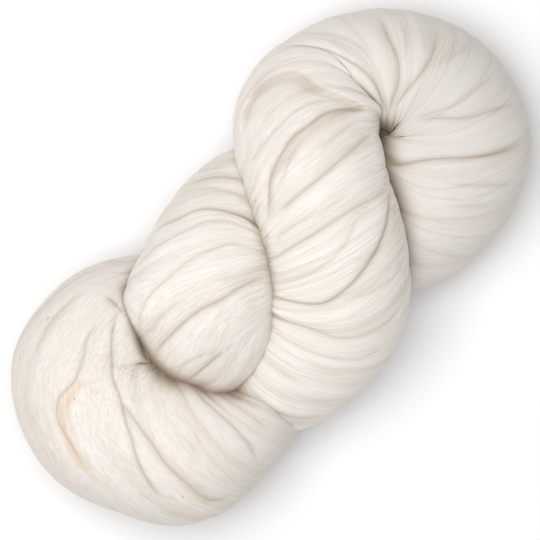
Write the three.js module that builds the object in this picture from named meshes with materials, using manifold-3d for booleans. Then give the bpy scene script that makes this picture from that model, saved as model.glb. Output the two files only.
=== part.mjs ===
// A hank of wool roving: a long, soft, untwisted ribbon of combed wool, wound into a loop, twisted until
// it doubles back on itself, and laid down. Two fat strands cross over each other between a round fold at
// one end and a collar of ribbons that turns around the other end.
// Millimetres. +X runs along the hank, toward the round fold, +Y across it and +Z up.
import * as THREE from "three";
import { mergeVertices } from "three/addons/utils/BufferGeometryUtils.js";
import Module from "manifold-3d";

// Driving dimensions.
const SETTLE = 3; // how far the soft wool flattens where it lies on a surface
const RIBBON_PUFF = 2.4; // how far a ribbon swells above the furrows beside it
const RIBBON_WIDTH = 16; // the width at which a ribbon swells in full
const FURROW_SHARPNESS = 2.2; // 2 is a round ribbon, more is a flatter one with sharper furrows
const FURROW_SHARE = 0.6; // the share of a ribbon's swell that lies below the strand's mean surface
const PINCH_GAP = 2; // the least clearance between a tight bend's skin and the bend's own centre
const FOLD_FULLNESS = 0.5; // how square the packed inside of the round fold is, where 0 is an ellipse
const COLLAR_FULLNESS = 0.3; // the same for the collar
const TIGHT_FROM = 0.3; // half width over bend radius from which the inside of a bend is packed
const TIGHT_SPAN = 0.7; // the further share over which it becomes packed in full
const LONGEST_STEP = 8; // along the strand, between two rings of points
const LARGEST_TURN = 28; // degrees that the ribbons may turn between two rings

// Where each ribbon of the strand begins, in degrees around it. Hand-wound ribbons aren't equal.
const STRAND_RIBBONS = [0, 52, 118, 176, 241, 303];
const COLLAR_RIBBONS = [0, 40, 96, 128, 190, 240, 300];
const POINTS_PER_RIBBON = 5;

// The strand, from the end that is tucked under the collar, over, around the fold and back. A row gives
// where its centre lies (along, across, up), its half width and half height there, and how many degrees
// its ribbons have turned around it since the first row.
const STRAND = [
  { along: -101, across: 14, up: 22, halfWidth: 16, halfHeight: 14, turned: 0 },
  { along: -73, across: 12, up: 26, halfWidth: 24, halfHeight: 21, turned: 5 },
  { along: -49, across: 9, up: 57, halfWidth: 38, halfHeight: 30, turned: 12 },
  { along: -29, across: 15, up: 64, halfWidth: 39, halfHeight: 32, turned: 30 },
  { along: -6, across: 26, up: 54, halfWidth: 34, halfHeight: 33, turned: 150 },
  { along: 18, across: 26, up: 38, halfWidth: 32, halfHeight: 32, turned: 300 },
  { along: 40, across: 4, up: 28, halfWidth: 34, halfHeight: 28, turned: 380 },
  { along: 59, across: -27, up: 31, halfWidth: 38, halfHeight: 31, turned: 475 },
  { along: 85, across: -35, up: 35, halfWidth: 38, halfHeight: 35, turned: 545 },
  { along: 112, across: -25, up: 35, halfWidth: 38, halfHeight: 35, turned: 650 },
  { along: 123, across: 2, up: 35, halfWidth: 33, halfHeight: 35, turned: 890 },
  { along: 111, across: 27, up: 35, halfWidth: 31, halfHeight: 35, turned: 1110 },
  { along: 88, across: 39, up: 36, halfWidth: 32, halfHeight: 35, turned: 1190 },
  { along: 66, across: 35, up: 50, halfWidth: 36, halfHeight: 34, turned: 1290 },
  { along: 44, across: 8, up: 67, halfWidth: 36, halfHeight: 33, turned: 1410 },
  { along: 28, across: -18, up: 68, halfWidth: 36, halfHeight: 32, turned: 1640 },
  { along: 5, across: -36, up: 56, halfWidth: 37, halfHeight: 34, turned: 1790 },
  { along: -27, across: -38, up: 43, halfWidth: 34, halfHeight: 33, turned: 1990 },
  { along: -48, across: -22, up: 30, halfWidth: 33, halfHeight: 29, turned: 2090 },
  { along: -63, across: 12, up: 28, halfWidth: 33, halfHeight: 28, turned: 2170 },
  { along: -76, across: 32, up: 31, halfWidth: 30, halfHeight: 28, turned: 2230 },
  { along: -88, across: 42, up: 36, halfWidth: 20, halfHeight: 22, turned: 2270 },
  { along: -97, across: 47, up: 38, halfWidth: 8, halfHeight: 10, turned: 2290 },
];

// The collar, from its pinched start on the +Y side, around the end and under the strand on the -Y side.
const COLLAR = [
  { along: -38, across: 42, up: 36, halfWidth: 9, halfHeight: 14, turned: 0 },
  { along: -58, across: 51, up: 42, halfWidth: 15, halfHeight: 24, turned: 10 },
  { along: -76, across: 50, up: 46, halfWidth: 24, halfHeight: 34, turned: 24 },
  { along: -98, across: 38, up: 45, halfWidth: 36, halfHeight: 42, turned: 42 },
  { along: -109, across: 14, up: 45, halfWidth: 40, halfHeight: 43, turned: 56 },
  { along: -105, across: -10, up: 45, halfWidth: 39, halfHeight: 43, turned: 80 },
  { along: -92, across: -30, up: 44, halfWidth: 38, halfHeight: 42, turned: 125 },
  { along: -68, across: -43, up: 38, halfWidth: 25, halfHeight: 35, turned: 230 },
  { along: -46, across: -46, up: 30, halfWidth: 18, halfHeight: 24, turned: 340 },
  { along: -28, across: -42, up: 30, halfWidth: 10, halfHeight: 14, turned: 430 },
];

// Rows at which the strand is parted into lengths that don't cross themselves, before they are joined.
const STRAND_JOINTS = [0, 4, 7, 10, 13, 17, 20, 22];
const COLLAR_JOINTS = [0, 4, 9];

// The wool that is packed tight in the middle of the round fold, below its open pinch.
const FOLD_CORE = { along: 87, across: 3, up: 25, radius: 18, halfHeight: 35 };

const WORLD_UP = new THREE.Vector3(0, 0, 1);
const HEADING_REACH = 0.35; // how many rows to each side of a point its heading is averaged over
const BEND_REACH = 0.5; // how many rows to each side of a point its bend is measured over
const STRAIGHTEST = 1e-6; // the least bend between two points, so that a straight path divides well
const FINE_STEPS = 200; // how finely a length of the path is walked when its rings are placed
const GROUND_SIZE = 500; // wider than the hank

/** One smooth path through a table's rows: at(u) gives the row between rows at 0 <= u <= 1. */
function pathThrough(rows) {
  const centres = rows.map((row) => new THREE.Vector3(row.along, row.across, row.up));
  const sections = rows.map((row) => new THREE.Vector3(row.halfWidth, row.halfHeight, row.turned));
  const centreCurve = new THREE.CatmullRomCurve3(centres, false, "catmullrom", 0.5);
  const sectionCurve = new THREE.CatmullRomCurve3(sections, false, "catmullrom", 0.5);
  const reach = HEADING_REACH / (rows.length - 1);
  return (u) => {
    const section = sectionCurve.getPoint(u);
    const behind = centreCurve.getPoint(Math.max(0, u - reach));
    const ahead = centreCurve.getPoint(Math.min(1, u + reach));
    const tangent = ahead.sub(behind).normalize();
    const side = new THREE.Vector3().crossVectors(WORLD_UP, tangent).normalize();
    return {
      centre: centreCurve.getPoint(u),
      tangent,
      side,
      top: new THREE.Vector3().crossVectors(tangent, side),
      halfWidth: section.x,
      halfHeight: section.y,
      turned: section.z,
    };
  };
}

/** How the path bends and the ribbons turn near u, over this reach to each side. */
function changeAt(at, u, reach) {
  const before = at(Math.max(0, u - reach));
  const after = at(Math.min(1, u + reach));
  const travelled = before.centre.distanceTo(after.centre);
  const bend = after.tangent.clone().sub(before.tangent).dot(at(u).side);
  return {
    inwardSign: Math.sign(bend),
    bendRadius: travelled / Math.max(Math.abs(bend), STRAIGHTEST),
    turnPerLength: THREE.MathUtils.degToRad(after.turned - before.turned) / travelled,
  };
}

/** One ring of points around the path, a few to each ribbon, turned with the ribbons. */
function ringAt(at, u, reach, ribbonStarts, fullness) {
  const place = at(u);
  const { inwardSign, bendRadius, turnPerLength } = changeAt(at, u, reach);
  const roomInside = Math.max(bendRadius - PINCH_GAP, PINCH_GAP);
  const tightness = THREE.MathUtils.clamp((place.halfWidth / bendRadius - TIGHT_FROM) / TIGHT_SPAN, 0, 1);
  const radius = (place.halfWidth + place.halfHeight) / 2;
  const narrowing = 1 / Math.hypot(1, radius * turnPerLength); // ribbons that turn fast lie closer
  const points = [];
  ribbonStarts.forEach((start, index) => {
    const end = index + 1 < ribbonStarts.length ? ribbonStarts[index + 1] : ribbonStarts[0] + 360;
    const width = radius * THREE.MathUtils.degToRad(end - start) * narrowing;
    const fullPuff = RIBBON_PUFF * Math.min(1, width / RIBBON_WIDTH);
    for (let step = 0; step < POINTS_PER_RIBBON; step += 1) {
      const share = step / POINTS_PER_RIBBON;
      const puff = fullPuff * (1 - FURROW_SHARE - Math.abs(2 * share - 1) ** FURROW_SHARPNESS);
      const angle = THREE.MathUtils.degToRad(start + share * (end - start) + place.turned);
      let sideways = (place.halfWidth + puff) * Math.cos(angle);
      if (Math.sign(sideways) === inwardSign) {
        const packed = Math.abs(Math.cos(angle)) ** (1 - fullness * tightness);
        sideways = inwardSign * Math.min((place.halfWidth + puff) * packed, roomInside);
      }
      const upward = (place.halfHeight + puff) * Math.sin(angle);
      points.push(
        place.centre.clone().addScaledVector(place.side, sideways).addScaledVector(place.top, upward),
      );
    }
  });
  return { centre: place.centre, points };
}

/** A closed skin over a row of rings, with a flat fan at each end. */
function skinOver(rings) {
  const around = rings[0].points.length;
  const vertices = [];
  rings.forEach((ring) => ring.points.forEach((point) => vertices.push(...point)));
  const faces = [];
  for (let ring = 0; ring + 1 < rings.length; ring += 1) {
    for (let index = 0; index < around; index += 1) {
      const next = (index + 1) % around;
      const here = ring * around;
      const there = here + around;
      faces.push(here + index, here + next, there + index);
      faces.push(here + next, there + next, there + index);
    }
  }
  const first = rings[0];
  const last = rings[rings.length - 1];
  const firstHub = rings.length * around;
  const lastHub = firstHub + 1;
  const lastStart = (rings.length - 1) * around;
  vertices.push(...first.centre, ...last.centre);
  for (let index = 0; index < around; index += 1) {
    const next = (index + 1) % around;
    faces.push(firstHub, next, index);
    faces.push(lastHub, lastStart + index, lastStart + next);
  }
  const geometry = new THREE.BufferGeometry();
  geometry.setAttribute("position", new THREE.Float32BufferAttribute(vertices, 3));
  geometry.setIndex(faces);
  return geometry;
}

/** Stations u between two rows, close enough for the bends and for the ribbons' turning. */
function stationsBetween(at, from, to) {
  const stations = [from];
  let last = at(from);
  for (let step = 1; step < FINE_STEPS; step += 1) {
    const u = from + ((to - from) * step) / FINE_STEPS;
    const here = at(u);
    const farEnough = here.centre.distanceTo(last.centre) > LONGEST_STEP;
    const turnedEnough = Math.abs(here.turned - last.turned) > LARGEST_TURN;
    if (farEnough || turnedEnough) {
      stations.push(u);
      last = here;
    }
  }
  stations.push(to);
  return stations;
}

/** The lengths of one wound path, each a closed geometry that shares its end rings with its neighbours. */
function lengthsOf(rows, joints, ribbonStarts, fullness) {
  const at = pathThrough(rows);
  const reach = BEND_REACH / (rows.length - 1);
  const lengths = [];
  for (let index = 0; index + 1 < joints.length; index += 1) {
    const from = joints[index] / (rows.length - 1);
    const to = joints[index + 1] / (rows.length - 1);
    const rings = stationsBetween(at, from, to).map((u) => ringAt(at, u, reach, ribbonStarts, fullness));
    lengths.push(skinOver(rings));
  }
  return lengths;
}

const wasm = await Module();
wasm.setup();

/** A solid for joining and cutting, from a closed geometry. */
function toSolid(geometry) {
  const bare = geometry.clone();
  bare.deleteAttribute("normal");
  bare.deleteAttribute("uv");
  const merged = mergeVertices(bare, 1e-5);
  return new wasm.Manifold(
    new wasm.Mesh({
      numProp: 3,
      vertProperties: new Float32Array(merged.attributes.position.array),
      triVerts: new Uint32Array(merged.index.array),
    }),
  );
}

/** The geometry of a joined solid. */
function toGeometry(solid) {
  const mesh = solid.getMesh();
  const geometry = new THREE.BufferGeometry();
  geometry.setAttribute("position", new THREE.BufferAttribute(mesh.vertProperties, 3));
  geometry.setIndex(new THREE.BufferAttribute(mesh.triVerts, 1));
  geometry.computeVertexNormals();
  return geometry;
}

/** What lies under the surface that the hank rests on. */
function groundBlock() {
  const block = new THREE.BoxGeometry(GROUND_SIZE, GROUND_SIZE, GROUND_SIZE);
  return block.translate(0, 0, -GROUND_SIZE / 2);
}

/** The packed middle of the round fold. */
function foldCore() {
  const core = new THREE.SphereGeometry(1, 20, 12);
  core.scale(FOLD_CORE.radius, FOLD_CORE.radius, FOLD_CORE.halfHeight);
  return core.translate(FOLD_CORE.along, FOLD_CORE.across, FOLD_CORE.up);
}

/** A joined solid without the small sealed hollows that are left deep between its lengths. */
function withoutHollows(solid) {
  const skins = toSolid(toGeometry(solid)).decompose();
  return skins.reduce((outermost, skin) => (skin.volume() > outermost.volume() ? skin : outermost));
}

/** The whole hank as one solid, settled on the ground. */
function woundHank() {
  const lengths = [
    ...lengthsOf(STRAND, STRAND_JOINTS, STRAND_RIBBONS, FOLD_FULLNESS),
    ...lengthsOf(COLLAR, COLLAR_JOINTS, COLLAR_RIBBONS, COLLAR_FULLNESS),
    foldCore(),
  ];
  const joined = lengths
    .map((length) => toSolid(length.translate(0, 0, -SETTLE)))
    .reduce((whole, length) => whole.add(length));
  return withoutHollows(joined.subtract(toSolid(groundBlock())));
}

/** Moves a geometry so that the middle of its box stands over the origin. */
function centreOverOrigin(geometry) {
  geometry.computeBoundingBox();
  const middle = geometry.boundingBox.getCenter(new THREE.Vector3());
  return geometry.translate(-middle.x, -middle.y, 0);
}

const roving = new THREE.MeshStandardMaterial({ color: 0xe9e1d6, roughness: 0.95, metalness: 0 });
const hank = new THREE.Mesh(centreOverOrigin(toGeometry(woundHank())), roving);
hank.name = "hank";

const woolRoving = new THREE.Group();
woolRoving.add(hank);

export default woolRoving;
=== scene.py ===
# %% [markdown]
# # A hank of wool roving
# Roving, or combed top, is a soft rope of wool fibres that lie side by side and aren't spun. A long length
# of it is wound into a loop, the loop is twisted until it doubles back on itself, and the hank lies down as
# two fat strands that cross over each other. Everything that the eye reads comes from that: round strands,
# slanting ribbons on each strand, soft furrows between ribbons, and fine straight fibres along them.
#
# Such a hank could be sculpted by hand, or a soft rope could be simulated until it settles. Here it is worked
# out from short tables of sizes instead, so that each ribbon and each crease can be read and changed.
#
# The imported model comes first. It is the fixed frame that all pieces here are made to fit.

# %% Load the frame
import math

import bpy
import numpy as np
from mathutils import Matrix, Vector


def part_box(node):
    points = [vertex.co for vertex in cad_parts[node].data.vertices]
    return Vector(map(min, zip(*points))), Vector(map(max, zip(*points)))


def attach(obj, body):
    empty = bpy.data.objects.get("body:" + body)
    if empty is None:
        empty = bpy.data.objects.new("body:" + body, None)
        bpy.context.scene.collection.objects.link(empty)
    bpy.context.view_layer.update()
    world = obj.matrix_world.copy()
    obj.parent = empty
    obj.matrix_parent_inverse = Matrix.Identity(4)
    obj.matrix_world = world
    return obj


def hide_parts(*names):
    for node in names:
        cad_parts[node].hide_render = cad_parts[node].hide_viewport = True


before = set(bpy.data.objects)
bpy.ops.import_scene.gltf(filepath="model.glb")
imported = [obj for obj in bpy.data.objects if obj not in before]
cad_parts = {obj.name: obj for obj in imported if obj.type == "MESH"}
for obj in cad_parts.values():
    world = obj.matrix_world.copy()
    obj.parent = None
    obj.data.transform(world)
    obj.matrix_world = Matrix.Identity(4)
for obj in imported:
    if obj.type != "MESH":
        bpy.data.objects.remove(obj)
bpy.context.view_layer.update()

MM = 0.001
SEED = 11
TINY = 1e-12  # keeps a division from zero
hank_low, hank_high = (np.array(corner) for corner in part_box("hank"))
print("hank solid, mm:", np.round((hank_high - hank_low) / MM, 1))

# %% [markdown]
# ## Three helpers
# Paint charts and screens give colours as sRGB hex, but light adds up in linear values, so one function
# converts them. A material could be wired by hand in the node editor, but a script is easier to read and to
# change. So a second function adds a shader node with its settings and links in one go, and a third starts
# a material from the values of its surface.

# %% Colours
def linear(hex_colour):
    """An sRGB hex colour as linear red, green, blue and alpha."""
    shares = [int(hex_colour[i:i + 2], 16) / 255 for i in (1, 3, 5)]
    return [s / 12.92 if s <= 0.04045 else ((s + 0.055) / 1.055) ** 2.4 for s in shares] + [1.0]


print("warm white in linear values:", [round(value, 3) for value in linear("#FFF8F0")])


# %% Nodes and materials
def add_node(tree, kind, settings=None, output=0, **inputs):
    """One output of a new node of this kind. An input is a value, or another node's output to link."""
    node = tree.nodes.new(kind)
    for name, value in (settings or {}).items():
        setattr(node, name, value)
    for name, value in inputs.items():
        socket = node.inputs[int(name[1:])] if name[1:].isdigit() else node.inputs[name.replace("_", " ")]
        if isinstance(value, bpy.types.NodeSocket):
            tree.links.new(value, socket)
        else:
            socket.default_value = value
    return node.outputs[output]


def new_material(name, surface):
    """A material with these values on its shader."""
    material = bpy.data.materials.new(name)
    material.use_nodes = True
    for socket, value in surface.items():
        material.node_tree.nodes["Principled BSDF"].inputs[socket].default_value = value
    return material


# %% [markdown]
# ## The path of the strand
# The strand is described as a rigger would describe a rope: where its middle runs, how thick it is there,
# and how far its ribbons have turned around it. A curve with a bevel could draw a plain rope, but not one
# whose width, height and lay change on the way, so the path is a table with a row for each place. The rows
# are the frame's own, in millimetres and degrees. The collar is the last of the winding, which wraps around
# one end.

# %% Rows of the two paths
COLUMNS = ("along", "across", "up", "half_width", "half_height", "turned")
STRAND = np.array([
    (-101, 14, 22, 16, 14, 0),
    (-73, 12, 26, 24, 21, 5),
    (-49, 9, 57, 38, 30, 12),
    (-29, 15, 64, 39, 32, 30),
    (-6, 26, 54, 34, 33, 150),
    (18, 26, 38, 32, 32, 300),
    (40, 4, 28, 34, 28, 380),
    (59, -27, 31, 38, 31, 475),
    (85, -35, 35, 38, 35, 545),
    (112, -25, 35, 38, 35, 650),
    (123, 2, 35, 33, 35, 890),
    (111, 27, 35, 31, 35, 1110),
    (88, 39, 36, 32, 35, 1190),
    (66, 35, 50, 36, 34, 1290),
    (44, 8, 67, 36, 33, 1410),
    (28, -18, 68, 36, 32, 1640),
    (5, -36, 56, 37, 34, 1790),
    (-27, -38, 43, 34, 33, 1990),
    (-48, -22, 30, 33, 29, 2090),
    (-63, 12, 28, 33, 28, 2170),
    (-76, 32, 31, 30, 28, 2230),
    (-88, 42, 36, 20, 22, 2270),
    (-97, 47, 38, 8, 10, 2290),
], float)
COLLAR = np.array([
    (-38, 42, 36, 9, 14, 0),
    (-58, 51, 42, 15, 24, 10),
    (-76, 50, 46, 24, 34, 24),
    (-98, 38, 45, 36, 42, 42),
    (-109, 14, 45, 40, 43, 56),
    (-105, -10, 45, 39, 43, 80),
    (-92, -30, 44, 38, 42, 125),
    (-68, -43, 38, 25, 35, 230),
    (-46, -46, 30, 18, 24, 340),
    (-28, -42, 30, 10, 14, 430),
], float)
print("rows of the strand and the collar:", len(STRAND), len(COLLAR))

# %% [markdown]
# The strand has no corners, so one smooth curve runs through the rows, all columns at once. The curve is then
# divided at even distances, which keeps the fibres drawn on it at one scale.

# %% Smooth curves through rows
def smooth_rows(rows, per_row=60):
    """A Catmull-Rom curve through the rows, all columns at once."""
    padded = np.vstack([2 * rows[0] - rows[1], rows, 2 * rows[-1] - rows[-2]])
    t = np.linspace(0, 1, per_row, endpoint=False)[:, None]
    spans = []
    for a, b, c, d in zip(padded, padded[1:], padded[2:], padded[3:]):
        spans.append(0.5 * (2 * b + (c - a) * t + (2 * a - 5 * b + 4 * c - d) * t ** 2
                            + (3 * b - a - 3 * c + d) * t ** 3))
    return np.vstack(spans + [rows[-1:]])


def even_stations(curve, count):
    """The curve again at even distances, and those distances from its start."""
    steps = np.linalg.norm(np.diff(curve[:, :3], axis=0), axis=1)
    travelled = np.concatenate([[0], np.cumsum(steps)])
    stations = np.linspace(0, travelled[-1], count)
    return np.stack([np.interp(stations, travelled, column) for column in curve.T], 1), stations


for title, rows in (("strand", STRAND), ("collar", COLLAR)):
    print(title, "length, mm:", even_stations(smooth_rows(rows), 2)[1][-1].round())

# %% [markdown]
# ## Ribbons, swells and creases
# A twisted hank shows its ribbons as soft swells with a sharp furrow between each two. They could be painted
# as bump, but then the outline and the contact between strands would stay smooth. So three layers of relief
# make them: a few main ribbons all around the strand, soft swells strewn along the lay of the fibres, and the
# main creases, which are set one by one. All of them are heights in millimetres over the smooth strand.

# %% Main ribbons
STRAND_RIBBONS = np.array([0, 52, 118, 176, 241, 303, 360], float)  # where one ends and the next starts
COLLAR_RIBBONS = np.array([0, 40, 96, 128, 190, 240, 300, 360], float)
RIBBON_PUFF = 0.9    # from a wide ribbon's edge to its top
RIBBON_WIDTH = 16.0  # a ribbon at least this wide has its full puff
RIBBON_LIFT = 0.4    # share of the puff that stands over the smooth strand
RIBBON_CROWN = 2.2   # how flat its top is, where 2 is a plain arch


def ribbon_relief(skin, edges):
    """Rounded ribbons between these angles of the lay."""
    lay = skin["lay"] % 360
    index = np.clip(np.searchsorted(edges, lay, side="right") - 1, 0, len(edges) - 2)
    width_deg = edges[index + 1] - edges[index]
    share = (lay - edges[index]) / width_deg
    width = np.radians(width_deg) * skin["radius"] * skin["narrowing"]
    puff = RIBBON_PUFF * np.minimum(1, width / RIBBON_WIDTH)
    return puff * (RIBBON_LIFT - np.abs(2 * share - 1) ** RIBBON_CROWN)


# %% Soft swells and dips strewn along the lay
STRAND_SWELLS = 200
COLLAR_SWELLS = 60
SWELL_REACH = (20, 60)        # to each side, along the fibres
SWELL_HEIGHT = (-0.15, 0.12)
SWELL_WIDTH = (1.5, 5.0)      # across the fibres


def strewn_swells(skin, count, seed):
    """Soft rises and dips that follow the fibres, with random places, lengths and heights."""
    rng = np.random.default_rng(seed)
    relief = np.zeros_like(skin["lay"])
    length = skin["station"].max()
    for _ in range(count):
        lay, middle = rng.uniform(0, 360), rng.uniform(0, length)
        reach = rng.uniform(*SWELL_REACH)
        height, width = rng.uniform(*SWELL_HEIGHT), rng.uniform(*SWELL_WIDTH)
        rows = np.abs(skin["station"][:, 0] - middle) < reach
        if not rows.any():
            continue
        off_deg = (skin["lay"][rows] - lay + 180) % 360 - 180
        off = np.radians(off_deg) * (skin["radius"] * skin["narrowing"])[rows]
        fade = 1 - (np.abs(skin["station"][rows] - middle) / reach) ** 2
        relief[rows] += height * fade * np.exp(-(off / width) ** 2)
    return relief


# %% [markdown]
# The main creases are rows of a table, as a pattern cutter would list them: how deep a crease is and how much
# higher the ribbon on one side of it stands, then the points that it runs through, each as a distance along
# the strand and a clock angle around it, where 90 is the top. A cloth simulation would crease it anywhere. A
# table puts each crease where the hank has it.

# %% Creases of the near strand, where it comes out from under the other one
NEAR_STRAND_CREASES = [
    (1.0, 0.9, (104, 15), (109, 26), (112, 46), (116, 61), (118, 80), (119, 98), (118, 115), (116, 130)),
    (0.6, 0.0, (88, 8), (99, 31), (107, 60), (112, 76), (114, 93), (115, 112), (114, 126)),
    (0.5, 0.0, (66, 64), (74, 57), (82, 52), (89, 57), (97, 70), (102, 85), (106, 100), (107, 114),
     (109, 134)),
    (0.4, 0.0, (66, 64), (75, 66), (83, 70), (90, 84)),
    (1.0, 0.3, (62, 85), (72, 78), (80, 81), (86, 90), (90, 102), (94, 112), (98, 126), (103, 144)),
    (0.3, 0.0, (92, 85), (96, 106), (99, 118), (103, 136)),
    (1.0, 0.0, (62, 115), (71, 113), (77, 116), (82, 126)),
    (0.5, 0.0, (63, 108), (71, 100), (76, 105), (79, 120)),
    (0.9, 0.0, (127, 18), (130, 37), (133, 57), (136, 82)),
    (0.4, 0.0, (133, 16), (135, 32), (138, 52)),
    (0.4, 0.0, (121, 18), (124, 36), (127, 75), (126, 100)),
]
print("creases of the near strand:", len(NEAR_STRAND_CREASES))

# %% Creases of the strand that crosses on top
CROSSING_CREASES = [
    (0.6, 1.6, (394, 40), (392, 61), (387, 86), (382, 111), (385, 134), (391, 146), (401, 150)),
    (1.0, 0.6, (393, 36), (395, 50), (400, 71), (406, 86), (410, 100), (416, 114), (422, 127), (430, 134),
     (437, 146)),
    (0.5, 0.0, (393, 66), (395, 83), (400, 100), (406, 117), (411, 136), (414, 147)),
    (0.4, 0.0, (409, 90), (416, 103), (423, 114), (428, 126)),
    (0.4, 0.0, (401, 42), (408, 55), (415, 73), (420, 90)),
    (0.7, 0.0, (403, 18), (415, 44), (423, 68), (428, 88), (432, 112), (434, 130)),
    (0.4, 0.0, (433, 55), (438, 90), (440, 121), (443, 142)),
    (0.7, 0.0, (436, 18), (439, 45), (441, 71), (445, 106), (448, 129), (453, 156)),
    (1.0, 0.5, (435, 15), (445, 34), (453, 52), (460, 71), (467, 90), (471, 104), (472, 127), (473, 155)),
    (0.4, 0.0, (441, 45), (444, 67), (450, 81), (457, 104), (462, 127), (466, 150)),
    (0.4, 0.0, (460, 15), (464, 39), (467, 62), (470, 88)),
    (0.6, 0.0, (473, 20), (480, 47), (486, 78), (487, 106), (493, 124), (499, 144)),
    (0.4, 0.0, (486, 28), (493, 51), (498, 80), (501, 104), (505, 130)),
    (0.5, 0.0, (513, 62), (516, 85), (518, 98), (522, 118)),
    (0.3, 0.0, (500, 48), (504, 63), (508, 90)),
    (0.3, 0.0, (512, 34), (516, 46), (520, 78)),
    (0.6, 0.0, (520, 20), (524, 35), (530, 60), (534, 84)),
]
print("creases of the crossing strand:", len(CROSSING_CREASES))

# %% Creases of the round fold
ROUND_FOLD_CREASES = [
    (0.9, 0.0, (333, 152), (330, 120), (325, 96), (323, 76), (325, 63), (328, 46)),
    (0.4, 0.0, (326, 143), (323, 119), (322, 94)),
    (0.3, 0.0, (320, 145), (317, 124), (314, 106)),
    (0.8, 0.0, (315, 152), (312, 111), (313, 87), (317, 72), (323, 55)),
    (0.3, 0.0, (308, 152), (308, 113), (310, 94)),
    (0.4, 0.0, (305, 156), (305, 128), (308, 100)),
    (0.5, 0.0, (295, 156), (292, 116), (290, 93), (292, 76), (297, 62)),
    (0.7, 0.0, (284, 155), (283, 118), (283, 95), (287, 79), (294, 62)),
    (1.1, 0.0, (274, 152), (270, 125), (265, 97), (261, 82), (255, 71), (243, 59), (232, 52)),
    (0.5, 0.0, (263, 150), (258, 119), (250, 86)),
    (0.3, 0.0, (256, 143), (250, 118), (244, 98)),
    (0.9, 0.0, (370, 160), (366, 130), (360, 117), (348, 101), (339, 82), (333, 65), (328, 50)),
    (0.3, 0.0, (346, 170), (341, 130), (335, 95)),
    (0.4, 0.0, (239, 160), (234, 134), (227, 108)),
]
print("creases of the round fold:", len(ROUND_FOLD_CREASES))

# %% Creases of the collar
COLLAR_CREASES = [
    (0.9, 0.0, (35, 70), (45, 65), (57, 62), (74, 67), (96, 72), (110, 85), (119, 102), (126, 117),
     (133, 132)),
    (0.8, 0.0, (86, 71), (105, 74), (121, 85), (130, 99), (137, 113), (144, 134), (151, 146)),
    (0.7, 0.0, (42, 75), (49, 84), (60, 85), (72, 93), (78, 109), (85, 117), (96, 120), (109, 133)),
    (0.4, 0.0, (76, 98), (83, 106), (96, 116)),
    (0.6, 0.0, (33, 116), (43, 124), (52, 130), (66, 131)),
    (1.2, 0.0, (35, 90), (35, 75), (37, 60)),
    (0.7, 0.0, (144, 40), (152, 58), (158, 79), (162, 106), (163, 130)),
    (0.4, 0.0, (162, 50), (168, 78), (172, 112)),
    (0.3, 0.0, (128, 66), (138, 83), (143, 98)),
]
print("creases of the collar:", len(COLLAR_CREASES))

# %% [markdown]
# A real crease isn't a cut: it is a narrow valley with soft shoulders that fades at its ends. Where a ribbon
# lies over its neighbour, one side of the valley also stands higher. A bent edge loop could carry one crease,
# but not fifty that cross the rings at a slant. So each point of the skin is given its distance to the
# crease's line, its place along that line and its side, and sinks or rises by them.

# %% The distance from a crease
FAR = 99.0         # stands for no crease near by
CREASE_STEPS = 8   # steps of a crease's curve between two of its points


def distance_from(curve, station, clock, radius):
    """Each point's distance to a curve on the skin, its share of the way along it, and its side."""
    nearest, where, side_of = np.full(radius.shape, FAR), np.zeros(radius.shape), np.ones(radius.shape)
    for step, (ahead, clock_ahead) in enumerate(np.diff(curve, axis=0)):
        turn = radius * clock_ahead
        x = station - curve[step, 0]
        y = radius * ((clock - curve[step, 1] + 180) % 360 - 180)
        along = np.clip((x * ahead + y * turn) / (ahead ** 2 + turn ** 2 + TINY), 0, 1)
        gap = np.hypot(x - along * ahead, y - along * turn)
        closer = gap < nearest
        nearest = np.where(closer, gap, nearest)
        where = np.where(closer, (step + along) / (len(curve) - 1), where)
        side_of = np.where(closer, np.sign(ahead * y - turn * x + TINY), side_of)
    return nearest, where, side_of


# %% The relief of creases
CREASE_WIDTH = 0.9     # how fast a valley rises beside its middle line
SHOULDER = 3.0         # how far its soft shoulders reach
SHOULDER_SHARE = 0.45  # their share of its depth
STEP_REACH = 11.0      # how far a ribbon that lies over its neighbour stays higher
STEP_EDGE = 0.6        # how far its edge takes to rise
FADE_REACH = 13.0      # how far each end of a crease takes to fade
FADE_SHARE = 0.4       # the most of a crease's length that one end may take for it
LAY_RADIUS = 35.0      # the strand's usual radius
# the mark of a crease is the strength of its line of painted shade
NEAR_CREASE = 4.0      # how far the mark of a crease is kept


def crease_marks(skin, table):
    """Relief of all creases, with each point's signed distance to its nearest crease and how strong its
    painted shade is.
    """
    relief = np.zeros_like(skin["lay"])
    offset = np.full_like(relief, FAR)
    strength = np.zeros_like(relief)
    station = skin["station"][:, 0]
    for depth, step_height, *marks in table:
        curve = smooth_rows(np.array(marks, float), CREASE_STEPS)
        reach = 3 * SHOULDER + 2 * STEP_REACH * (step_height != 0)
        rows = (station > curve[:, 0].min() - reach) & (station < curve[:, 0].max() + reach)
        nearest, where, side_of = distance_from(curve, skin["station"][rows], skin["clock"][rows],
                                                np.radians(skin["radius"][rows]))
        length = np.hypot(*(np.diff(curve, axis=0) * (1, np.radians(LAY_RADIUS))).T).sum()
        fade_share = min(FADE_SHARE, FADE_REACH / length)
        fade = np.clip(np.minimum(where, 1 - where) / fade_share, 0, 1)
        fade = fade * fade * (3 - 2 * fade)
        shoulders = SHOULDER_SHARE * np.exp(-((nearest / SHOULDER) ** 2))
        relief[rows] -= depth * fade * ((1 - SHOULDER_SHARE) * np.exp(-nearest / CREASE_WIDTH) + shoulders)
        step = np.tanh(side_of * nearest / STEP_EDGE) * np.exp(-nearest / STEP_REACH)
        relief[rows] += step_height * fade * step
        closest = nearest < np.abs(offset[rows])
        offset[rows] = np.where(closest, nearest * side_of, offset[rows])
        mark = depth * fade * np.exp(-((nearest / NEAR_CREASE) ** 4))
        strength[rows] = np.where(closest, mark, strength[rows])
    return relief, offset, strength
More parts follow.
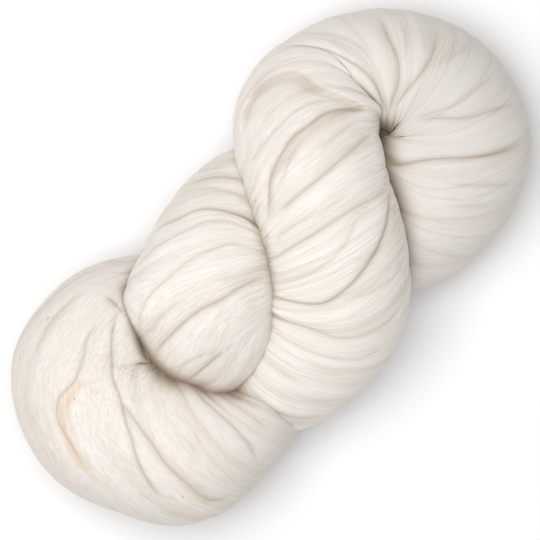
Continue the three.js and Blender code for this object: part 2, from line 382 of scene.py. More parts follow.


# %% [markdown]
# Where a strand presses on its neighbour the wool bulges or gives way. The edge of the crossing strand bulges
# below its notch, and the near strand gives way where it dives under the collar. The collar is pushed up
# beside its pinch, until it closes against the near strand. A sculptor would push the mesh there with a soft
# brush. Each row here is one such push: its rise, its reach and the points of its line.

# %% Bulges and hollows set one by one
PUSH_STEPS = 6  # steps of a push's line between two of its points
STRAND_BULGES = [
    (1.5, 7.0, (402, 24), (414, 24), (426, 26)),
    (-5.0, 10.0, (57, 66), (57, 84), (57, 100), (57, 118)),
]
COLLAR_BULGES = [
    (1.2, 15.0, (48, 48), (62, 50), (76, 52), (90, 56)),
    (7.5, 11.0, (38, 58), (44, 48), (50, 38), (54, 30)),
]


def nearness(skin, marks, reach):
    """How near each point is to the line through these marks: 1 on it and 0 far from it."""
    radius = np.radians(skin["radius"])
    nearest = np.full(radius.shape, FAR)
    for station, clock in smooth_rows(np.array(marks, float), PUSH_STEPS):
        turn = radius * ((skin["clock"] - clock + 180) % 360 - 180)
        nearest = np.minimum(nearest, np.hypot(skin["station"] - station, turn))
    return np.exp(-((nearest / reach) ** 2))


def bulges(skin, table):
    """Relief of all bulges and hollows."""
    return sum(rise * nearness(skin, marks, reach) for rise, reach, *marks in table)


print("pushes on the strand and the collar:", len(STRAND_BULGES), len(COLLAR_BULGES))

# %% [markdown]
# Raw wool isn't of one colour. A weathered streak, a little more yellow, runs beside one crease of the
# collar. The round fold, which lies lower than the strand that crosses on top, and the ends of the collar get
# painted shade: they are made greyer. This could be painted on the mesh. A line and two short tables, of
# greyness by station for the painted shade, say the same, and each point of the skin keeps what they give.

# %% Weathered streak of the collar, and painted shade as greyness along both paths
STAIN = [(75, 90), (79, 100), (82, 109), (86, 114), (93, 119), (101, 127)]
STAIN_REACH = 2.2
STAIN_STRENGTH = 0.45
# painted shade: how grey each station of the strand and the collar is made, from 0 to 1
STRAND_SHADE_GREY = [(0, 0.3), (60, 0.1), (130, 0.2), (220, 0.8), (300, 1.0), (345, 0.6), (380, 0.1), (420, 0.0),
               (520, 0.1), (580, 0.5)]
COLLAR_SHADE_GREY = [(0, 0.8), (50, 0.4), (90, 0.1), (140, 0.3), (190, 0.9)]
print("greyest station of the strand:", max(STRAND_SHADE_GREY, key=lambda row: row[1])[0])

# %% [markdown]
# ## The skin
# Rings of points stand across the path, and their faces close into a tube with a flat end. A subdivided
# curve would space them evenly, but the fine furrows are only seen from above, so the points stand closer
# together on that side. Each point also keeps its place in the lay of the fibres, which the material later
# reads to draw fibres that run along the ribbons however the strand turns.

# %% Angles around the strand
TOP_CLOCK = 90.0    # degrees, where the side that faces up is
FINE_STEPS = 3600   # steps around in which the spacing is worked out
TOP_REACH = 112.0   # degrees to each side of the top with closer points
TOP_EDGE = 6.0      # degrees over which they open up
TOP_CLOSER = 1.5    # how much closer they stand there
BEND_REACH = 18.0   # how far to each side, in mm, the path's heading is averaged


def clocks(around):
    """Angles around the strand, closer together on the side that faces up."""
    fine = np.linspace(0, 360, FINE_STEPS, endpoint=False)
    closeness = np.ones(len(fine))
    for from_top in (np.abs(fine - TOP_CLOCK), TOP_CLOCK + 360 - fine):
        closeness += TOP_CLOSER / (1 + np.exp((from_top - TOP_REACH) / TOP_EDGE))
    share = np.concatenate([[0], np.cumsum(closeness)]) / closeness.sum()
    return np.interp(np.arange(around) / around, share, np.append(fine, 360))


def softened(values, reach):
    """Values along the path, each averaged with its neighbours up to this many rings away."""
    shares = np.hanning(2 * reach + 1) / np.hanning(2 * reach + 1).sum()
    return np.convolve(np.pad(values, reach, mode="edge"), shares, mode="valid")


print("the first angles of a ring of 224:", clocks(224)[:4].round(2))

# %% Rings across a path
def skin_of(rows, ring_count, around):
    """Every point's place along the strand, around it, and in the lay of its fibres."""
    path, stations = even_stations(smooth_rows(rows), ring_count)
    centre = path[:, :3]
    half_width, half_height, turned = (path[:, [COLUMNS.index(name)]] for name in COLUMNS[3:])
    reach = int(BEND_REACH / (stations[1] - stations[0]))
    heading = np.gradient(centre, stations, axis=0)
    tangent = np.stack([softened(column, reach) for column in heading.T], 1)
    tangent /= np.linalg.norm(tangent, axis=1)[:, None]
    side = np.cross([0, 0, 1], tangent)
    side /= np.linalg.norm(side, axis=1)[:, None]
    top = np.cross(tangent, side)
    bend = (np.gradient(tangent, stations, axis=0) * side).sum(1)
    radius = (half_width + half_height) / 2
    turn = np.gradient(np.radians(turned), stations, axis=0)
    clock = clocks(around)
    wide = np.ones((ring_count, around))
    return {
        "centre": centre, "side": side, "top": top, "bend": bend,
        "half_width": half_width * wide, "half_height": half_height * wide,
        "radius": radius * wide,
        "narrowing": 1 / np.hypot(1, radius * turn) * wide,
        "station": stations[:, None] * wide,
        "clock": clock[None] * wide,
        "lay": clock[None] - turned * wide,
    }


# %% [markdown]
# Where the strand bends tighter than its own width, the inner sides of the rings would cross. Real wool
# can't: it is held at the pinch and packs tight beside it. So the inner side is kept clear of the bend's own
# centre, softly, and is made a little fuller next to it. A boolean or a remesh could clean up crossed rings
# as well, but it would lose the lay of the fibres.

# %% The skin with its relief
SETTLE = 3.0            # how far the soft wool flattens where it lies
PINCH_GAP = 2.0         # clearance between a tight bend's skin and the bend's own centre
PINCH_SOFTNESS = 1.5    # how softly it is held there
FOLD_FULLNESS = 1.0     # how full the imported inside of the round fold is, where 0 is an ellipse
COLLAR_FULLNESS = 0.25  # the same for the collar
TIGHT_FROM = 0.3        # half width over bend radius from which the inside of a bend is packed
TIGHT_SPAN = 0.7        # the further share over which it becomes packed in full
TIGHT_RINGS = 20        # rings to each side over which this is averaged


def raised(skin, relief, fullness):
    """The points of the skin with this relief, kept clear of the middle of tight bends.

    With fullness, the inside of a tight bend is fuller than an ellipse, as wool is packed there.
    """
    angle = np.radians(skin["clock"])
    inward = np.sign(skin["bend"])[:, None]
    tight = np.clip((skin["half_width"][:, 0] * np.abs(skin["bend"]) - TIGHT_FROM) / TIGHT_SPAN, 0, 1)
    tight = softened(tight, TIGHT_RINGS)[:, None]
    inside = np.clip(np.cos(angle) * inward, 0, 1)
    fuller = 1 + fullness * tight * inside * (1 - inside ** 2)
    sideways = (skin["half_width"] + relief) * np.cos(angle) * fuller
    upward = (skin["half_height"] + relief) * np.sin(angle)
    room = np.maximum(1 / np.maximum(np.abs(skin["bend"]), TINY) - PINCH_GAP, PINCH_GAP)[:, None]
    into = sideways * inward
    held = -PINCH_SOFTNESS * np.logaddexp(-into / PINCH_SOFTNESS, -room / PINCH_SOFTNESS)
    sideways = np.where(into > 0, held, into) * inward
    points = (skin["centre"][:, None] + sideways[..., None] * skin["side"][:, None]
              + upward[..., None] * skin["top"][:, None])
    points[..., 2] -= SETTLE
    return points


# %% Both skins
STRAND_RINGS, STRAND_AROUND = 760, 224
COLLAR_RINGS, COLLAR_AROUND = 290, 300


def dressed(skin, ribbons, swells, seed, creases, pushes, grey, fullness):
    """Adds the relief, the marks of its creases, its painted shade as greyness, and its points to a skin."""
    crease_relief, skin["offset"], skin["strength"] = crease_marks(skin, creases)
    relief = ribbon_relief(skin, ribbons) + strewn_swells(skin, swells, seed) + crease_relief
    skin["relief"] = relief + bulges(skin, pushes)
    skin["stain"] = np.zeros_like(relief)
    # painted shade, as greyness by station
    skin["grey"] = np.interp(skin["station"], *zip(*grey))
    skin["points"] = raised(skin, skin["relief"], fullness)
    return skin


strand = dressed(skin_of(STRAND, STRAND_RINGS, STRAND_AROUND), STRAND_RIBBONS, STRAND_SWELLS, SEED,
                 NEAR_STRAND_CREASES + CROSSING_CREASES + ROUND_FOLD_CREASES, STRAND_BULGES, STRAND_SHADE_GREY,
                 FOLD_FULLNESS)
collar = dressed(skin_of(COLLAR, COLLAR_RINGS, COLLAR_AROUND), COLLAR_RIBBONS, COLLAR_SWELLS, SEED + 1,
                 COLLAR_CREASES, COLLAR_BULGES, COLLAR_SHADE_GREY, COLLAR_FULLNESS)
collar["stain"] = np.clip(nearness(collar, STAIN, STAIN_REACH), 0, 1) * STAIN_STRENGTH
for title, skin in (("strand", strand), ("collar", collar)):
    print(title, "relief, mm:", skin["relief"].min().round(2), "to", skin["relief"].max().round(2))

# %% [markdown]
# The rows have their own middle, while the frame stands on the middle of its footprint. The shift between
# the two is measured from both boxes, so nothing is placed by eye. Wool that reaches the surface lies flat
# on it. The hank could be dropped onto a floor in a simulation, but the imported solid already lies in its
# place, so the skin is only pressed flat where it would go through.

# %% Shift onto the frame
SKIN_LIFT = 0.15  # keeps the flat underside clear of the floor's own face
everything = np.vstack([strand["points"].reshape(-1, 3), collar["points"].reshape(-1, 3)])
row_middle = (everything.min(0) + everything.max(0))[:2] / 2
frame_middle = (hank_low + hank_high)[:2] / 2 / MM
shift = np.array([*(frame_middle - row_middle), 0])
print("shift onto the frame, mm:", shift.round(2))


def seated(points):
    """Points in metres, in the frame, with nothing below the surface."""
    moved = points + shift
    moved[..., 2] = np.maximum(moved[..., 2], SKIN_LIFT)
    return moved * MM


# %% [markdown]
# The strand is built in three lengths, to keep each mesh light. Both joints lie under a crossing, where
# nothing shows them. The points come from arrays, which is much faster than adding them one by one, and the
# marks of each point go along as attributes, so the material needs no unwrapping.

# %% Build a length of skin as a mesh
# painted shade in the furrows, which grows with their depth
FURROW_SHADE_DEPTH = 3.0  # a furrow this deep has its colour in full


def skin_mesh(name, skin, first=0, last=None):
    """A closed tube over these rings that keeps the marks of its lay and its creases on every point."""
    part = slice(first, last)
    points = skin["points"][part]
    rings, around = points.shape[:2]
    vertices = seated(points).reshape(-1, 3)
    ring = np.arange(rings - 1)[:, None] * around
    step = np.arange(around)[None]
    after = (step + 1) % around
    quads = np.stack([ring + step, ring + after, ring + around + after, ring + around + step], -1)
    ends = [list(range(around))[::-1], list(range((rings - 1) * around, rings * around))]
    mesh = bpy.data.meshes.new(name)
    mesh.from_pydata(vertices.tolist(), [], quads.reshape(-1, 4).tolist() + ends)
    lay = np.radians(skin["lay"][part])
    place = np.stack([LAY_RADIUS * np.cos(lay), LAY_RADIUS * np.sin(lay), skin["station"][part]], -1)
    mesh.attributes.new("lay", "FLOAT_VECTOR", "POINT").data.foreach_set("vector", (place * MM).ravel())
    # furrow and grey carry painted shade, offset and strength the painted shade of the crease lines, stain a
    # real streak
    marks = {"furrow": np.clip(-skin["relief"][part] / FURROW_SHADE_DEPTH, 0, 1), "offset": skin["offset"][part],
             "strength": skin["strength"][part], "stain": skin["stain"][part], "grey": skin["grey"][part]}
    for key, values in marks.items():
        mesh.attributes.new(key, "FLOAT", "POINT").data.foreach_set("value", values.ravel())
    mesh.shade_smooth()
    piece = bpy.data.objects.new(name, mesh)
    bpy.context.scene.collection.objects.link(piece)
    print(name, "faces:", len(mesh.polygons))
    return piece


def ring_at_row(skin, rows, row):
    """The number of the ring nearest to a row's own place."""
    return int(np.argmin(np.linalg.norm(skin["centre"] - rows[row, :3], axis=1)))


# %% The strand in three lengths, and the collar
FIRST_JOINT_ROW = 6    # where the near strand dives under the crossing one
SECOND_JOINT_ROW = 18  # where the crossing strand dives under the collar
first_joint = ring_at_row(strand, STRAND, FIRST_JOINT_ROW)
second_joint = ring_at_row(strand, STRAND, SECOND_JOINT_ROW)
pieces = [
    skin_mesh("near_strand", strand, last=first_joint + 1),
    skin_mesh("fold_and_crossing", strand, first_joint, second_joint + 1),
    skin_mesh("tucked_tail", strand, second_joint),
    skin_mesh("end_collar", collar),
]

# %% [markdown]
# Deep in the two pinches the wool is packed tight, with gathers that run up to a point. It could be more of
# the strand's own skin, but nothing of that shows there, so each is one gathered lump, and only its top is
# seen. Its colour is painted shade, as dark as a crease of a given depth, for the shade deep in the pinch.

# %% Packed wool inside the two folds
LUMP_RINGS, LUMP_AROUND = 60, 90
LUMP_POLE = 2.0  # degrees from each pole to its first ring
LUMP_GATHERS = [(0.04, 7, 40), (0.03, 17, 0)]  # share of the radius, gathers around, degrees turned


def packed_lump(name, middle, lump_radius, half_height, depth):
    """A lump of packed wool with gathers that run up to its top, in painted shade as dark as a crease of this
    depth.
    """
    lay, down = np.meshgrid(np.linspace(0, 360, LUMP_AROUND, endpoint=False),
                            np.linspace(LUMP_POLE, 180 - LUMP_POLE, LUMP_RINGS))
    gathers = np.ones_like(lay)
    for share, count, turned in LUMP_GATHERS:
        gathers += share * np.cos(np.radians(count * lay + turned))
    radius = lump_radius * gathers * np.sin(np.radians(down))
    points = np.stack([radius * np.cos(np.radians(lay)), radius * np.sin(np.radians(lay)),
                       half_height * np.cos(np.radians(down))], -1)[::-1] + np.array(middle)
    points[..., 2] -= SETTLE
    calm = np.zeros_like(lay)
    # relief and strength give the whole lump the painted shade of a crease this deep
    skin = {"points": points, "lay": lay, "station": down, "relief": calm - depth, "offset": calm,
            "strength": calm + depth, "stain": calm, "grey": calm}
    return skin_mesh(name, skin)


pieces.append(packed_lump("packed_core", middle=(87, 3, 25), lump_radius=22.0, half_height=25.0, depth=1.2))
pieces.append(packed_lump("collar_filling", middle=(-70, 19, 37), lump_radius=19.0, half_height=32.0,
                          depth=0.2))

# %% [markdown]
# ## Loose fibres
# Combed wool is never closed like cloth. Single fibres lift off and lie over the rest, most of all along the
# edges where one strand presses on another. A particle system could grow them, but they would stand up like
# fur. Here each is a thin three-sided tube that starts in the skin, rises a little and dips back, along the
# lay with a slight wander of its own.

# %% A place on the skin
LAST_SPAN = 1.001  # keeps a place just short of the last ring


def on_skin(skin, values, station, clock):
    """Values of the skin's grid at these places, blended between its points."""
    i = np.clip(station / (skin["station"][1, 0] - skin["station"][0, 0]), 0, len(values) - LAST_SPAN)
    around = values.shape[1]
    j = np.interp(clock % 360, np.append(skin["clock"][0], 360), np.arange(around + 1)) % around
    i0, j0 = i.astype(int), j.astype(int)
    di, dj = (i - i0)[..., None], (j - j0)[..., None]
    j1 = (j0 + 1) % around
    near = values[i0, j0] * (1 - dj) + values[i0, j1] * dj
    far = values[i0 + 1, j0] * (1 - dj) + values[i0 + 1, j1] * dj
    return near * (1 - di) + far * di


def outward(points):
    """The direction out of the skin at each of its points."""
    ahead = np.gradient(points, axis=0)
    beside = np.roll(points, -1, 1) - np.roll(points, 1, 1)
    normal = np.cross(beside, ahead)
    normal /= np.linalg.norm(normal, axis=2)[..., None] + TINY
    return normal * np.sign((normal * (points - points.mean(1, keepdims=True))).sum((1, 2)))[:, None, None]


ring_top = on_skin(strand, strand["points"], np.zeros(1), np.full(1, TOP_CLOCK))
print("top of the strand's first ring, mm:", ring_top.round(1))

# %% The line of a fibre
FIBRE_NODES = 8
FIBRE_ROOT = 0.15    # how deep below the skin both ends lie
FIBRE_CURL = 0.6     # share of its wander that bends it
FIBRE_CURL_TURN = 2.4  # radians of that bend along its length


def fibre_nodes(skin, station, clock, length, rise, wander):
    """The middle lines of fibres that start at these places, in mm."""
    t = np.linspace(0, 1, FIBRE_NODES)[None]
    narrowing = np.interp(station, skin["station"][:, 0], skin["narrowing"][:, 0])
    along = station[:, None] + (length * narrowing)[:, None] * t
    turned = skin["clock"][:, 0] - skin["lay"][:, 0]
    turned_at_start = np.interp(station, skin["station"][:, 0], turned)[:, None]
    twist = np.interp(along, skin["station"][:, 0], turned) - turned_at_start
    bow = wander[:, None] * (t + FIBRE_CURL * np.sin(FIBRE_CURL_TURN * t + wander[:, None]))
    around = clock[:, None] + twist + bow
    lift = rise[:, None] * np.sin(np.pi * t) - FIBRE_ROOT
    return (on_skin(skin, skin["points"], along, around)
            + lift[..., None] * on_skin(skin, outward(skin["points"]), along, around))


# %% Fibres as thin tubes
FIBRE_SIDES = 3
FIBRE_TIP = 0.35            # radians of a half round left out at each end of its taper
LEANING = [0.3, 0.2, 0.93]  # hardly any fibre runs this way


def fibre_piece(name, lines, half_thick):
    """One mesh of thin tubes along these lines."""
    nodes = seated(lines)
    tangent = np.gradient(nodes, axis=1)
    tangent /= np.linalg.norm(tangent, axis=2)[..., None] + TINY
    side = np.cross(tangent, LEANING)
    side /= np.linalg.norm(side, axis=2)[..., None] + TINY
    above = np.cross(side, tangent)
    taper = np.sin(np.linspace(FIBRE_TIP, np.pi - FIBRE_TIP, FIBRE_NODES))[None, :, None] * half_thick * MM
    rings = np.stack([nodes + taper * (math.cos(a) * side + math.sin(a) * above)
                      for a in np.linspace(0, 2 * math.pi, FIBRE_SIDES, endpoint=False)], 2)
    count = len(lines)
    base = (np.arange(count) * FIBRE_NODES * FIBRE_SIDES)[:, None, None]
    ring = (np.arange(FIBRE_NODES - 1) * FIBRE_SIDES)[None, :, None]
    step = np.arange(FIBRE_SIDES)[None, None]
    after = (step + 1) % FIBRE_SIDES
    low, high = base + ring, base + ring + FIBRE_SIDES
    quads = np.stack([low + step, low + after, high + after, high + step], -1).reshape(-1, 4)
    last_ring = FIBRE_SIDES * (FIBRE_NODES - 1)
    caps = []
    for start in base[:, 0, 0].tolist():
        caps.append([start + 2, start + 1, start])
        caps.append([start + last_ring, start + last_ring + 1, start + last_ring + 2])
    mesh = bpy.data.meshes.new(name)
    mesh.from_pydata(rings.reshape(-1, 3).tolist(), [], quads.tolist() + caps)
    mesh.shade_smooth()
    piece = bpy.data.objects.new(name, mesh)
    bpy.context.scene.collection.objects.link(piece)
    print(name, "fibres:", count)
    return piece


# %% Where the loose fibres lie
STREWN_FIBRES = 500       # per skin
STREWN_CLOCKS = (5, 175)  # on the side that faces up
STRAND_SPAN = (70, 520)   # the stations that show
COLLAR_SPAN = (10, 170)
EDGE_FIBRES = 80          # per edge
EDGE_SPREAD = 5.0         # mm or degrees to each side
STRAND_EDGES = [          # where the strand presses on a neighbour, as two ends of a line
    ((394, 24), (436, 22)), ((440, 20), (475, 24)), ((420, 140), (470, 146)), ((72, 112), (116, 122)),
]
COLLAR_EDGES = [((38, 60), (100, 56))]
FIBRE_LENGTH = (5, 13)
FIBRE_RISE = (0.18, 0.4)
FIBRE_WANDER = 6.0        # degrees
FIBRE_HALF_THICK = 0.035  # a real fibre is less than half as thick, which is too fine to show


def loose_fibres(skin, edges, span, rng):
    """Middle lines of fibres strewn on a skin and along its edges."""
    places = [np.stack([rng.uniform(*span, STREWN_FIBRES), rng.uniform(*STREWN_CLOCKS, STREWN_FIBRES)], 1)]
    for start, end in edges:
        share = rng.uniform(0, 1, EDGE_FIBRES)[:, None]
        places.append(np.array(start) * (1 - share) + np.array(end) * share
                      + rng.uniform(-EDGE_SPREAD, EDGE_SPREAD, (EDGE_FIBRES, 2)))
    station, clock = np.vstack(places).T
    count = len(station)
    length = rng.uniform(*FIBRE_LENGTH, count)
    rise = rng.uniform(*FIBRE_RISE, count)
    return fibre_nodes(skin, station, clock, length, rise, rng.normal(0, FIBRE_WANDER, count))


fibre_rng = np.random.default_rng(SEED + 2)
strand_fibres = loose_fibres(strand, STRAND_EDGES, STRAND_SPAN, fibre_rng)
collar_fibres = loose_fibres(collar, COLLAR_EDGES, COLLAR_SPAN, fibre_rng)
pieces.append(fibre_piece("loose_fibres", np.vstack([strand_fibres, collar_fibres]), FIBRE_HALF_THICK))

# %% [markdown]
# A fleece also holds a few kemp hairs, which are short, coarse and darker. Combing leaves some in. They are
# made as the loose fibres are, only thicker, and stand where they catch the eye on the collar.

# %% Dark kemp hairs
HAIR_PLACES = [(62, 148), (48, 134), (80, 98), (136, 126)]  # on the collar
HAIR_LENGTH = (1.4, 2.6)
HAIR_RISE = 0.3
HAIR_WANDER = (-8, 8)  # degrees
HAIR_HALF_THICK = 0.09
hair_count = len(HAIR_PLACES)
hair_station, hair_clock = np.array(HAIR_PLACES, float).T
hair_lines = fibre_nodes(collar, hair_station, hair_clock, fibre_rng.uniform(*HAIR_LENGTH, hair_count),
                         np.full(hair_count, HAIR_RISE), fibre_rng.uniform(*HAIR_WANDER, hair_count))
pieces.append(fibre_piece("kemp_hairs", hair_lines, HAIR_HALF_THICK))

# %% [markdown]
# ## The wool
# Combed wool top is matt, cream and a little translucent. Combing has laid its fibres side by side, which
# gives the eye fine straight streaks along each ribbon and a faint sheen where they turn away. A fibre is
# about 0.03 mm thick, far finer than shows, so the grain is drawn 0.8 mm wide, as small bundles of fibres,
# and a second layer 2 mm wide. Both are noise that is stretched along the lay that each point keeps. A
# picture of wool could be wrapped around the strand, but it would show seams and one light for good.

# %% Streaks along the fibres
SMOOTH = {"interpolation_type": "SMOOTHSTEP"}
MINUS = {"operation": "SUBTRACT"}
PLUS = {"operation": "ADD"}
TIMES = {"operation": "MULTIPLY"}
SIZE_OF = {"operation": "ABSOLUTE"}
AT_MOST = {"operation": "MINIMUM"}
POWER_OF_E = {"operation": "EXPONENT"}
# how wide across the fibres and how long along them, in mm, and how many finer layers
GRAIN = (0.8, 3.2, 4.0)
BUNDLES = (2.0, 16.0, 1.0)
TONES = (9.0, 60.0, 1.0)
# the same size for thin lines, and how near to its middle value the noise has to be
SHORT_LINES = (26.0, 80.0, 0.03)
LONG_LINES = (60.0, 120.0, 0.018)
NOISE_MIDDLE = 0.5
BREAK_ACROSS, BREAK_ALONG = 0.7, 0.6    # the size of their breaks, as a share of theirs
BROKEN_BELOW, WHOLE_ABOVE = 0.42, 0.62  # values of the breaks' own noise


def along_lay(tree, across, along, detail):
    """Noise that is this wide across the fibres and this long along them."""
    lay = add_node(tree, "ShaderNodeAttribute", {"attribute_name": "lay"}, "Vector")
    scales = (1 / (across * MM), 1 / (across * MM), 1 / (along * MM))
    scaled = add_node(tree, "ShaderNodeVectorMath", TIMES, _0=lay, _1=scales)
    return add_node(tree, "ShaderNodeTexNoise", Vector=scaled, Scale=1.0, Detail=detail)


def thin_lines(tree, across, along, half_width):
    """Thin broken lines along the fibres, where a broad noise crosses its middle value."""
    noise = along_lay(tree, across, along, detail=1.0)
    off_middle = add_node(tree, "ShaderNodeMath", MINUS, _0=noise, _1=NOISE_MIDDLE)
    away = add_node(tree, "ShaderNodeMath", SIZE_OF, _0=off_middle)
    line = add_node(tree, "ShaderNodeMapRange", SMOOTH, Value=away, _1=0.0, _2=half_width, _3=1.0, _4=0.0)
    breaks = along_lay(tree, across * BREAK_ACROSS, along * BREAK_ALONG, detail=0.0)
    present = add_node(tree, "ShaderNodeMapRange", SMOOTH, Value=breaks, _1=BROKEN_BELOW, _2=WHOLE_ABOVE)
    return add_node(tree, "ShaderNodeMath", TIMES, _0=line, _1=present)


print("grain, bundles and tones across the fibres, mm:", GRAIN[0], BUNDLES[0], TONES[0])

# %% [markdown]
# A crease gets painted shade: a thin dark line in the middle of its valley, which fades to both sides, and the
# thin lines between fibres get a fainter one. Furrows, and places where two strands press together, get
# painted shade too, deeper in colour, as the light that reaches them has passed through wool. Lamps alone
# would make those places grey and not warm, so the painted shade helps them.

# %% Lines of the creases, in painted shade
CREASE_FALL = -1.2   # how fast the line fades, for each mm from its middle
CREASE_SHARE = 0.52  # how dark the line of a crease 1 mm deep is
FINE_SHARE = 0.13    # how dark the thin lines between fibres are


def crease_lines(tree):
    """How dark the painted shade of the creases and of the thin lines between fibres is, from 0 to 1."""
    offset = add_node(tree, "ShaderNodeAttribute", {"attribute_name": "offset"}, "Fac")
    strength = add_node(tree, "ShaderNodeAttribute", {"attribute_name": "strength"}, "Fac")
    away = add_node(tree, "ShaderNodeMath", SIZE_OF, _0=offset)
    fallen = add_node(tree, "ShaderNodeMath", TIMES, _0=away, _1=CREASE_FALL)
    fading = add_node(tree, "ShaderNodeMath", POWER_OF_E, _0=fallen)
    crease = add_node(tree, "ShaderNodeMath", TIMES, _0=fading, _1=strength)
    short, long = thin_lines(tree, *SHORT_LINES), thin_lines(tree, *LONG_LINES)
    fine = add_node(tree, "ShaderNodeMath", PLUS, _0=short, _1=long)
    crease_part = add_node(tree, "ShaderNodeMath", TIMES, _0=crease, _1=CREASE_SHARE)
    fine_part = add_node(tree, "ShaderNodeMath", TIMES, _0=fine, _1=FINE_SHARE)
    return add_node(tree, "ShaderNodeMath", PLUS, _0=crease_part, _1=fine_part)


print("darkness 1 mm beside a crease 1 mm deep:", round(CREASE_SHARE * math.exp(CREASE_FALL), 2))

# %% Colour of the wool
STREAK_COLOUR = linear("#CDBFB1")
GRAIN_COLOUR = linear("#C6B9AC")
# painted shade on the round fold and the ends of the collar
PAINTED_GREY_SHADE = linear("#CFCBC6")
STAIN_COLOUR = linear("#DDBE92")
# painted shade in the furrows
FURROW_SHADE_COLOUR = linear("#CDBFAF")
# painted shade where a neighbouring strand is near
CONTACT_SHADE_COLOUR = linear("#96836D")
# painted shade along the creases and between the fibres
LINE_SHADE_COLOUR = linear("#937F6A")
# the values of its noise at which a layer starts and is full, and the most that it covers
TONE_LAYER = (0.35, 0.65, 1.0)
STREAK_LAYER = (0.4, 0.7, 0.07)
GRAIN_LAYER = (0.38, 0.66, 0.34)
# the most that the other layers cover
SHARE_OF_GREY_SHADE = 0.65
FULLEST_FURROW_SHADE, MOST_CONTACT_SHADE, FULLEST_LINE_SHADE = 0.8, 0.85, 0.85
CONTACT_SHADE_REACH = 18 * MM                  # how far off a neighbour still shades the wool
FULL_SHADE_BELOW, NO_SHADE_ABOVE = 0.2, 0.85  # how open a place is, from 0 to 1
CONTACT_SHADE_SAMPLES = 12


def wool_colour(tree, grain, bundles, lines, pale, deep):
    """The colour of the wool: its two tones, then layer over layer, each with its share and its colour. Its
    grey, furrow, pressed and line layers are painted shade.
    """
    furrow, stain, grey = (add_node(tree, "ShaderNodeAttribute", {"attribute_name": name}, "Fac")
                           for name in ("furrow", "stain", "grey"))
    # painted shade where strands press together, from how open each place is
    openness = add_node(tree, "ShaderNodeAmbientOcclusion", {"samples": CONTACT_SHADE_SAMPLES}, "AO",
                        Distance=CONTACT_SHADE_REACH)
    pressed = add_node(tree, "ShaderNodeMapRange", SMOOTH, Value=openness, _1=FULL_SHADE_BELOW, _2=NO_SHADE_ABOVE,
                       _3=MOST_CONTACT_SHADE, _4=0.0)
    layers = []
    for noise, (start, full, most), over in ((along_lay(tree, *TONES), TONE_LAYER, deep),
                                             (bundles, STREAK_LAYER, STREAK_COLOUR),
                                             (grain, GRAIN_LAYER, GRAIN_COLOUR)):
        share = add_node(tree, "ShaderNodeMapRange", SMOOTH, Value=noise, _1=start, _2=full, _4=most)
        layers.append((share, over))
    layers += [
        (add_node(tree, "ShaderNodeMath", TIMES, _0=grey, _1=SHARE_OF_GREY_SHADE), PAINTED_GREY_SHADE),
        (stain, STAIN_COLOUR),
        (add_node(tree, "ShaderNodeMath", AT_MOST, _0=furrow, _1=FULLEST_FURROW_SHADE), FURROW_SHADE_COLOUR),
        (pressed, CONTACT_SHADE_COLOUR),
        (add_node(tree, "ShaderNodeMath", AT_MOST, _0=lines, _1=FULLEST_LINE_SHADE), LINE_SHADE_COLOUR),
    ]
    colour = pale
    for share, over in layers:
        colour = add_node(tree, "ShaderNodeMix", {"data_type": "RGBA"}, 2, _0=share, _6=colour, _7=over)
    return colour


# %% [markdown]
# The surface itself is rough, as its fibres scatter light every way. An IOR of 1.55 is that of keratin, which
# wool is made of. A little sheen stands for the fuzz at the edges, and a little subsurface scattering for
# light that passes through it. The bump lifts the same bundles that the colour shows.

# %% Material of the wool
WOOL_SURFACE = {
    "Roughness": 0.92,
    "IOR": 1.55,
    "Specular IOR Level": 0.15,
    "Sheen Weight": 0.2,
    "Sheen Roughness": 0.5,
    "Sheen Tint": linear("#FFF8F0"),
    "Subsurface Weight": 0.15,
    "Subsurface Radius": (1.0, 0.8, 0.6),
    "Subsurface Scale": 2 * MM,
}
GRAIN_HEIGHT, BUNDLE_HEIGHT = 0.5, 0.15  # shares of the bump's height
BUMP_STRENGTH, BUMP_HEIGHT = 0.5, 0.5 * MM


def combed_wool(name, pale, deep):
    """Undyed combed wool: soft, matt, faintly sheeny, with fine straight fibres."""
    material = new_material(name, WOOL_SURFACE)
    tree = material.node_tree
    grain, bundles, lines = along_lay(tree, *GRAIN), along_lay(tree, *BUNDLES), crease_lines(tree)
    grain_part = add_node(tree, "ShaderNodeMath", TIMES, _0=grain, _1=GRAIN_HEIGHT)
    bundle_part = add_node(tree, "ShaderNodeMath", TIMES, _0=bundles, _1=BUNDLE_HEIGHT)
    fibres = add_node(tree, "ShaderNodeMath", PLUS, _0=grain_part, _1=bundle_part)
    height = add_node(tree, "ShaderNodeMath", MINUS, _0=fibres, _1=lines)
    bump = add_node(tree, "ShaderNodeBump", Height=height, Strength=BUMP_STRENGTH, Distance=BUMP_HEIGHT)
    colour = wool_colour(tree, grain, bundles, lines, linear(pale), linear(deep))
    shader = tree.nodes["Principled BSDF"]
    tree.links.new(colour, shader.inputs["Base Color"])
    tree.links.new(bump, shader.inputs["Normal"])
    print(name, "nodes:", len(tree.nodes))
    return material


strand_wool = combed_wool("combed_wool_top", "#F1ECE6", "#EBE5DE")
collar_wool = combed_wool("combed_wool_warm_end", "#EFEAE4", "#EBE2D8")

# %% [markdown]
# A single fibre is too thin for any grain to show on it, so the loose fibres have one even colour, and the
# kemp hairs a darker one. Both are a little smoother than the mass of the wool.

# %% Materials of single fibres
loose_fibre = new_material("loose_wool_fibre", {"Base Color": linear("#EDE6DE"), "Roughness": 0.8,
                                                "Specular IOR Level": 0.2})
kemp_hair = new_material("dark_kemp_hair", {"Base Color": linear("#8C7C6C"), "Roughness": 0.8,
                                            "Specular IOR Level": 0.2})
finishes = {"end_collar": collar_wool, "loose_fibres": loose_fibre, "kemp_hairs": kemp_hair}
for piece in pieces:
    piece.data.materials.append(finishes.get(piece.name, strand_wool))
    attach(piece, "root")
    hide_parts("hank")
print("pieces:", [piece.name for piece in pieces])

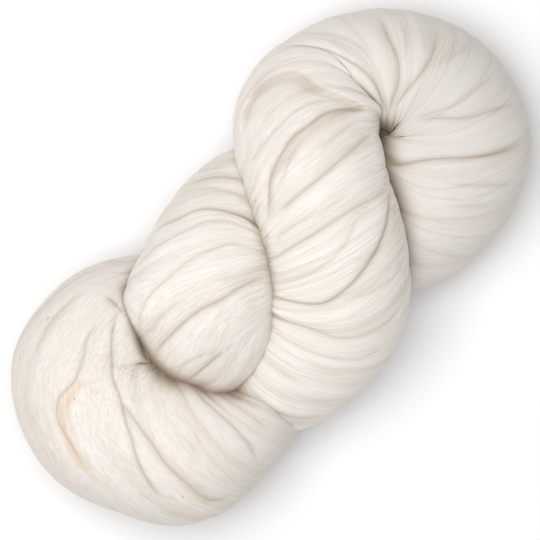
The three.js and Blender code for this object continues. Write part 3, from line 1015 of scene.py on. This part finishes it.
# %% [markdown]
# ## Floor, light and camera
# The hank lies on a pale seamless sheet. A large soft source overhead and slightly to one side models the
# rounds gently, and a white surround fills the furrows. A small lamp would draw hard shadows across them.
# The camera looks straight down through a long lens, turned so that the hank lies across the view from
# corner to corner. A short lens would make the high crossing look too large.

# %% Floor
FLOOR_SIZE = 6.0  # m, wide enough for every view
bpy.ops.mesh.primitive_plane_add(size=FLOOR_SIZE)
floor = bpy.context.object
floor.name = "floor_sheet"
paper = new_material("matt_white_paper", {"Base Color": linear("#F7F7F7"), "Roughness": 0.9})
floor.data.materials.append(paper)
print("floor sheet, m:", FLOOR_SIZE)

# %% Light
SURROUND_STRENGTH = 0.47
world = bpy.data.worlds.new("white_surround")
bpy.context.scene.world = world
world.use_nodes = True
background = world.node_tree.nodes["Background"]
background.inputs["Color"].default_value = linear("#FFFFFF")
background.inputs["Strength"].default_value = SURROUND_STRENGTH


def soft_box(name, place, size, power):
    """A square soft light that faces the hank, in metres and watts."""
    lamp = bpy.data.lights.new(name, "AREA")
    lamp.size = size
    lamp.energy = power
    holder = bpy.data.objects.new(name, lamp)
    bpy.context.scene.collection.objects.link(holder)
    holder.location = place
    holder.rotation_euler = (-Vector(place)).to_track_quat("-Z", "Y").to_euler()
    print(name, "stands at, m:", place)


soft_box("key_softbox", (-0.11, 0.17, 1.1), 0.8, 9.9)

# %% Camera
LENS = 200.0            # mm
SENSOR = 36.0           # mm
VIEW_WIDTH = 0.270      # m, across the view at the middle of the hank's height
AIM_HEIGHT = 0.045      # m
HANK_SLANT = math.radians(48)  # of the hank's length to the view's lower edge


def overhead_camera():
    """A camera straight above the middle of the rows, rolled to the hank's slant."""
    lens = bpy.data.cameras.new("camera")
    lens.lens = LENS
    lens.sensor_width = SENSOR
    camera = bpy.data.objects.new("camera", lens)
    bpy.context.scene.collection.objects.link(camera)
    distance = VIEW_WIDTH * LENS / SENSOR
    camera.location = (shift[0] * MM, shift[1] * MM, AIM_HEIGHT + distance)
    camera.rotation_euler = (0, 0, -HANK_SLANT)
    bpy.context.scene.camera = camera
    print("camera stands", round(distance, 3), "m above the hank's middle")


overhead_camera()
bpy.context.scene.view_settings.view_transform = "Standard"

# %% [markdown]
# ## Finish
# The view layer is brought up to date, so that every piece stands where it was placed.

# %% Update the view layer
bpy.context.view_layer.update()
